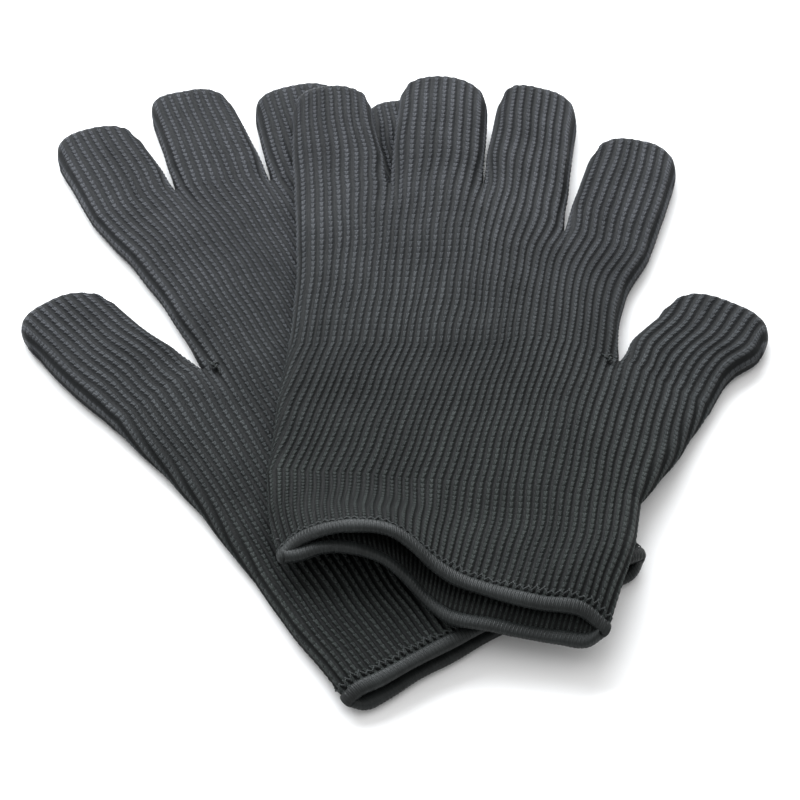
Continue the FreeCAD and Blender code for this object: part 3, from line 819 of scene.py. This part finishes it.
def stitch_group():
    """Plain knit from wale and course numbers: legs of each stitch, their twist, and tone; painted shade
    in the grooves between wales and legs, and the reach along the glove that the painted shade falloff
    follows.
    """
    tree, given, out = new_group(
        "knit_stitch",
        [("Knit", "NodeSocketVector", None), ("Plies", "NodeSocketFloat", 3.0)],
        ["Height", "Groove Shade", "Tone", "Reach"],
    )
    parts = put(tree, "ShaderNodeSeparateXYZ")
    tree.links.new(given.outputs["Knit"], parts.inputs[0])
    u, v = parts.outputs[0], parts.outputs[1]
    a = maths(tree, "FRACT", u)
    b = maths(tree, "FRACT", v)
    side = maths(tree, "ABSOLUTE", maths(tree, "SUBTRACT", a, 0.5))
    spread = maths(tree, "MULTIPLY_ADD", b, 0.11, 0.05)
    off = maths(tree, "ABSOLUTE", maths(tree, "SUBTRACT", side, spread))
    leg = ramp(tree, off, 0.16, 0.02)
    from_middle = maths(tree, "ABSOLUTE", maths(tree, "SUBTRACT", b, 0.5))
    end = ramp(tree, from_middle, 0.5, 0.24, 0.2, 1.0)
    leg = maths(tree, "MULTIPLY", leg, end)
    plies = maths(tree, "MULTIPLY", v, given.outputs["Plies"])
    phase = maths(tree, "ADD", maths(tree, "MULTIPLY", side, 15.0), plies)
    phase = maths(tree, "MULTIPLY", phase, 2 * math.pi)
    twist = maths(tree, "MULTIPLY_ADD", maths(tree, "SINE", phase), 0.5, 0.5)
    strand = maths(tree, "MULTIPLY", maths(tree, "MULTIPLY", twist, leg), 0.28)
    tree.links.new(maths(tree, "MULTIPLY_ADD", leg, 0.72, strand), out.inputs["Height"])
    # Painted shade: a near-black mask for the grooves between wales and the gaps between a stitch's legs.
    edge = ramp(tree, side, 0.14, 0.32)
    gap = ramp(tree, leg, 0.45, 0.0)
    groove_shade = maths(tree, "MAXIMUM", edge, maths(tree, "MULTIPLY", gap, 0.85), clamp=True)
    tree.links.new(groove_shade, out.inputs["Groove Shade"])
    cell = put(tree, "ShaderNodeCombineXYZ")
    tree.links.new(maths(tree, "FLOOR", u), cell.inputs[0])
    tree.links.new(maths(tree, "FLOOR", v), cell.inputs[1])
    each = put(tree, "ShaderNodeTexWhiteNoise", noise_dimensions="3D")
    tree.links.new(cell.outputs[0], each.inputs["Vector"])
    wale = put(tree, "ShaderNodeTexWhiteNoise", noise_dimensions="1D")
    tree.links.new(maths(tree, "FLOOR", u), wale.inputs["W"])
    rest = maths(tree, "MULTIPLY", wale.outputs["Value"], 0.5)
    tone = maths(tree, "MULTIPLY_ADD", each.outputs["Value"], 0.5, rest)
    tree.links.new(tone, out.inputs["Tone"])
    # Reach runs from 0 at the cuff to 1 at the fingers; the knit material uses it for a painted shade
    # falloff.
    tree.links.new(ramp(tree, v, 12.0, 92.0), out.inputs["Reach"])
    return tree


def cloth_group():
    """Slow variation of tone over the cloth, and the fuzz of its fibres."""
    tree, given, out = new_group(
        "cloth_surface",
        [("Place", "NodeSocketVector", None), ("Patch Scale", "NodeSocketFloat", 38.0),
         ("Fuzz Scale", "NodeSocketFloat", 2600.0)],
        ["Patches", "Fuzz"],
    )
    big = put(tree, "ShaderNodeTexNoise", in_Detail=3.0, in_Roughness=0.55)
    tree.links.new(given.outputs["Place"], big.inputs["Vector"])
    tree.links.new(given.outputs["Patch Scale"], big.inputs["Scale"])
    tree.links.new(ramp(tree, big.outputs["Fac"], 0.3, 0.7), out.inputs["Patches"])
    small = put(tree, "ShaderNodeTexNoise", in_Detail=2.0, in_Roughness=0.6)
    tree.links.new(given.outputs["Place"], small.inputs["Vector"])
    tree.links.new(given.outputs["Fuzz Scale"], small.inputs["Scale"])
    tree.links.new(small.outputs["Fac"], out.inputs["Fuzz"])
    return tree


def thread_group():
    """Fine parallel threads that wrap a band or a cord, from its own coordinates."""
    tree, given, out = new_group(
        "wrapped_thread",
        [("Along", "NodeSocketVector", None), ("Slant", "NodeSocketFloat", 1.0),
         ("Count", "NodeSocketFloat", 3.0)],
        ["Height", "Tone"],
    )
    parts = put(tree, "ShaderNodeSeparateXYZ")
    tree.links.new(given.outputs["Along"], parts.inputs[0])
    turn = maths(tree, "MULTIPLY", parts.outputs[0], given.outputs["Slant"])
    line = maths(tree, "MULTIPLY_ADD", parts.outputs[1], given.outputs["Count"], turn)
    wave = maths(tree, "ABSOLUTE", maths(tree, "SINE", maths(tree, "MULTIPLY", line, math.pi)))
    tree.links.new(wave, out.inputs["Height"])
    each = put(tree, "ShaderNodeTexWhiteNoise", noise_dimensions="1D")
    tree.links.new(maths(tree, "FLOOR", line), each.inputs["W"])
    tree.links.new(each.outputs["Value"], out.inputs["Tone"])
    return tree


GROUPS = {"stitch": stitch_group(), "cloth": cloth_group(), "thread": thread_group()}


def start_material(name, **finish):
    material = bpy.data.materials.new(name)
    material.use_nodes = True
    tree = material.node_tree
    shader = tree.nodes["Principled BSDF"]
    for key, value in finish.items():
        shader.inputs[key.replace("_", " ")].default_value = value
    return material, tree, shader


def group_node(tree, name, vector, **values):
    node = put(tree, "ShaderNodeGroup", node_tree=GROUPS[name])
    tree.links.new(vector, node.inputs[0])
    for key, value in values.items():
        node.inputs[key.replace("_", " ")].default_value = value
    return node


def blend_colour(tree, share, first, second):
    node = put(tree, "ShaderNodeMix", data_type="RGBA")
    for socket, value in ((node.inputs[6], first), (node.inputs[7], second)):
        if isinstance(value, tuple):
            socket.default_value = (*value, 1.0)
        else:
            tree.links.new(value, socket)
    tree.links.new(share, node.inputs[0])
    return node.outputs[2]


def bump(tree, height, distance, strength, normal=None):
    node = put(tree, "ShaderNodeBump", in_Strength=strength, in_Distance=distance)
    tree.links.new(height, node.inputs["Height"])
    if normal is not None:
        tree.links.new(normal, node.inputs["Normal"])
    return node.outputs["Normal"]


def knit_material():
    material, tree, shader = start_material(
        "knitted_yarn", Roughness=0.62, Specular_IOR_Level=0.11, Sheen_Weight=0.02, Sheen_Roughness=0.4,
    )
    knit = put(tree, "ShaderNodeUVMap", uv_map="knit")
    place = put(tree, "ShaderNodeTexCoord")
    stitches = group_node(tree, "stitch", knit.outputs["UV"])
    cloth = group_node(tree, "cloth", place.outputs["Object"])
    patches = maths(tree, "MULTIPLY", cloth.outputs["Patches"], 0.4)
    tone = maths(tree, "MULTIPLY_ADD", stitches.outputs["Tone"], 0.6, patches)
    # Painted shade: the yarn is darker and greener at the cuff and lighter and bluer at the fingers, as
    # light falling off towards the front of the scene would leave it.
    reach = stitches.outputs["Reach"]
    dark = blend_colour(tree, reach, (0.01, 0.014, 0.013), (0.036, 0.0385, 0.0445))
    light = blend_colour(tree, reach, (0.056, 0.0665, 0.062), (0.112, 0.117, 0.131))
    yarn = blend_colour(tree, tone, dark, light)
    fibre = ramp(tree, cloth.outputs["Fuzz"], 0.45, 0.72, 0.0, 0.7)
    yarn = blend_colour(tree, fibre, yarn, (0.088, 0.095, 0.099))
    # Painted shade in the grooves: near black, a little less deep towards the fingers.
    groove_shade_depth = ramp(tree, reach, 0.0, 1.0, 0.98, 0.9)
    groove_shade = maths(tree, "MULTIPLY", stitches.outputs["Groove Shade"], groove_shade_depth)
    colour = blend_colour(tree, groove_shade, yarn, (0.0016, 0.0021, 0.0021))
    tree.links.new(colour, shader.inputs["Base Color"])
    tree.links.new(ramp(tree, cloth.outputs["Fuzz"], 0.3, 0.7, 0.5, 0.72), shader.inputs["Roughness"])
    normal = bump(tree, cloth.outputs["Fuzz"], 0.00012, 0.6)
    normal = bump(tree, stitches.outputs["Height"], 0.0006, 1.0, normal)
    tree.links.new(normal, shader.inputs["Normal"])
    return material


def thread_material(name, dark, light, roughness, slant, count, gloss=0.3):
    material, tree, shader = start_material(
        name, Roughness=roughness, Specular_IOR_Level=gloss, Sheen_Weight=0.02, Sheen_Roughness=0.35,
    )
    along = put(tree, "ShaderNodeUVMap", uv_map="knit")
    place = put(tree, "ShaderNodeTexCoord")
    wraps = group_node(tree, "thread", along.outputs["UV"], Slant=slant, Count=count)
    cloth = group_node(tree, "cloth", place.outputs["Object"], Patch_Scale=60.0)
    patches = maths(tree, "MULTIPLY", cloth.outputs["Patches"], 0.6)
    tone = maths(tree, "MULTIPLY_ADD", wraps.outputs["Tone"], 0.4, patches)
    colour = blend_colour(tree, tone, dark, light)
    # Painted shade: the colour darkens in the dips between the wraps of thread.
    wrap_shade = ramp(tree, wraps.outputs["Height"], 0.5, 0.0, 0.0, 0.6)
    colour = blend_colour(tree, wrap_shade, colour, tuple(k * 0.35 for k in dark))
    tree.links.new(colour, shader.inputs["Base Color"])
    dull = ramp(tree, cloth.outputs["Fuzz"], 0.3, 0.7, roughness - 0.08, roughness + 0.1)
    tree.links.new(dull, shader.inputs["Roughness"])
    normal = bump(tree, cloth.outputs["Fuzz"], 0.00006, 0.5)
    normal = bump(tree, wraps.outputs["Height"], 0.00016, 0.45, normal)
    tree.links.new(normal, shader.inputs["Normal"])
    return material


def paper_material():
    material, tree, shader = start_material("studio_paper", Roughness=0.85, Specular_IOR_Level=0.15)
    place = put(tree, "ShaderNodeTexCoord")
    cloth = group_node(tree, "cloth", place.outputs["Object"], Patch_Scale=3.0, Fuzz_Scale=900.0)
    colour = blend_colour(tree, cloth.outputs["Patches"], (0.93, 0.93, 0.93), (0.96, 0.96, 0.96))
    tree.links.new(colour, shader.inputs["Base Color"])
    tree.links.new(bump(tree, cloth.outputs["Fuzz"], 0.0001, 0.1), shader.inputs["Normal"])
    return material


MATERIALS = {
    "knit": knit_material(),
    "hem": thread_material(
        "hem_thread", (0.0065, 0.0078, 0.0078), (0.018, 0.0212, 0.021), 0.46, 2.0, 2.0, 0.2),
    "loops": thread_material(
        "overlock_thread", (0.012, 0.0145, 0.0145), (0.034, 0.039, 0.039), 0.55, 1.0, 1.6, 0.2),
    "elastic": thread_material(
        "elastic_thread", (0.022, 0.022, 0.024), (0.04, 0.04, 0.043), 0.6, 1.0, 0.9),
    "paper": paper_material(),
}


# The gloves. The lower one is made first, and the upper one lies over it.

def swept(points, child):
    """Where a piece goes when its finger spreads sideways, so that the room stays free."""
    for joint in frame["joints"]:
        if joint["child"] == child and abs(joint["axis"][2]) > 0.5:
            centre = np.array(joint["pos_m"]) / MM
            for share in (0.25, 0.5, 0.75, 1.0):
                for limit in joint["range_deg"]:
                    a = math.radians(limit) * share * joint["axis"][2]
                    x, y = points[:, 0] - centre[0], points[:, 1] - centre[1]
                    yield np.stack([centre[0] + math.cos(a) * x - math.sin(a) * y,
                                    centre[1] + math.sin(a) * x + math.cos(a) * y, points[:, 2]], axis=1)


made = {}
for name in ("lower", "upper"):
    if name == "upper":
        for tube in made["lower"].values():
            points = (tube.base + tube.normal * RELIEF).reshape(-1, 3)
            floor.add(points)
            for turned in swept(points, f"lower_{tube.part}"):
                floor.add(turned)
        hem = bpy.data.objects["lower_hem_band"]
        band = np.empty(len(hem.data.vertices) * 3, np.float32)
        hem.data.vertices.foreach_get("co", band)
        floor.add(band.reshape(-1, 3) / MM)
        floor.settle(DRAPE)
    made[name] = build_glove(name, floor)
    tubes = made[name]
    body = f"{name}_hand"
    for part, tube in tubes.items():
        label = {"cuff": "cuff_knit", "hand": "hand_knit", "palm": "palm_knit"}.get(part, f"{part}_knit")
        piece = make_object(f"{name}_{label}", *tube.build_parts, MATERIALS["knit"], tube.rims)
        if part in ("cuff", "hand", "palm"):
            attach(piece, body)
            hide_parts(f"{name}_cuff" if part == "cuff" else f"{name}_palm")
            continue
        seam = tube.base[0] * MM
        across = seam[len(seam) // 2] - seam[0]
        ahead = Vector((-across[1], across[0], 0)).normalized()
        if ahead.dot(Vector(tube.base[-1, 0] * MM - seam[0])) < 0:
            ahead = -ahead
        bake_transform(piece)
        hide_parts(f"{name}_{part}")
    hem, lock, elastic = finish_cuff(name, tubes["cuff"], MATERIALS)
    tie = tie_knot(name, tubes["hand"], MATERIALS["loops"])
    for piece, slot_name, node in (
        (hem, "hem_thread", f"{name}_cuff_hem"),
        (lock, "hem_thread", f"{name}_cuff_hem"),
        (elastic, "elastic_thread", f"{name}_cuff_elastic"),
        (tie, "knitted_yarn", f"{name}_thumb_knot"),
    ):
        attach(piece, body)
        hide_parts(node)


# Studio: a pale floor, soft light from above, and the camera.

bpy.ops.mesh.primitive_plane_add(size=6, location=(0, 0, 0))
paper = bpy.context.object
paper.name = "studio_floor"
paper.data.materials.append(MATERIALS["paper"])

world = bpy.data.worlds.new("studio")
bpy.context.scene.world = world
world.use_nodes = True
sky = world.node_tree.nodes["Background"]
sky.inputs["Color"].default_value = (1.0, 1.0, 1.0, 1.0)
sky.inputs["Strength"].default_value = 0.7


def lamp(name, where, size, power, tint=(1.0, 1.0, 1.0)):
    data = bpy.data.lights.new(name, "AREA")
    data.shape = "RECTANGLE"
    data.size, data.size_y = size
    data.energy = power
    data.color = tint
    light = bpy.data.objects.new(name, data)
    bpy.context.scene.collection.objects.link(light)
    light.location = where
    light.rotation_euler = (Vector((0, 0.05, 0)) - Vector(where)).to_track_quat("-Z", "Y").to_euler()


lamp("window_soft", (-0.2, 0.64, 0.52), (1.2, 0.55), 18, (0.93, 0.965, 1.0))
lamp("ceiling_soft", (0.1, 0.0, 1.5), (1.6, 1.6), 5)

camera_data = bpy.data.cameras.new("camera")
camera_data.lens = 113.4
camera_data.sensor_width = 36
camera = bpy.data.objects.new("camera", camera_data)
bpy.context.scene.collection.objects.link(camera)
rise = math.radians(47)
away = 0.8
camera.location = (0, -away * math.cos(rise), away * math.sin(rise))
camera.rotation_euler = (math.pi / 2 - rise, 0, 0)
bpy.context.scene.camera = camera
bpy.context.scene.view_settings.view_transform = "Standard"
